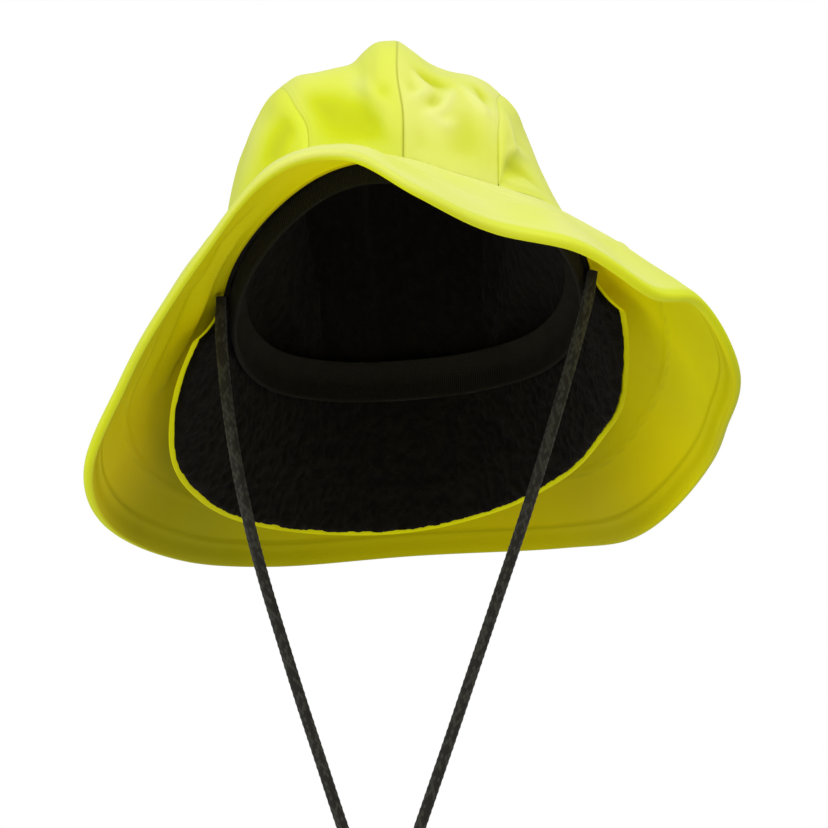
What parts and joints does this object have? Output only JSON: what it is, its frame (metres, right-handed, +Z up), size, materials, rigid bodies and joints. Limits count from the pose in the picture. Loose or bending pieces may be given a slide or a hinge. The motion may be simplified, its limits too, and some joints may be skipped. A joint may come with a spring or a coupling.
{
  "type": "sou wester hat",
  "caption": "Soft waterproof hat with a seamed crown, a drooping brim that is long behind, a fleece-backed neck flap and a chin cord with a lock.",
  "frame": {"origin": "middle of the head opening at the height of the wearer's temples", "axes": "+Z up, -Y towards the front of the hat, +X to the right of someone facing it"},
  "size_m": [0.3005, 0.3665, 0.4569],
  "materials": {
    "yellow_cloth": "satin",
    "black_fleece": "matte",
    "black_rib": "matte",
    "grey_cord": "matte",
    "lock_plastic": "matte"
  },
  "bodies": {
    "root": {"crown_side_left": "yellow_cloth", "crown_side_right": "yellow_cloth", "crown_top_left": "yellow_cloth", "crown_top_right": "yellow_cloth", "brim": "yellow_cloth", "headband": "black_rib", "crown_lining": "black_fleece", "neck_flap_shell": "yellow_cloth", "neck_flap_fleece": "black_fleece", "chin_cord": "grey_cord", "cord_lock": "lock_plastic"}
  },
  "joints": []
}
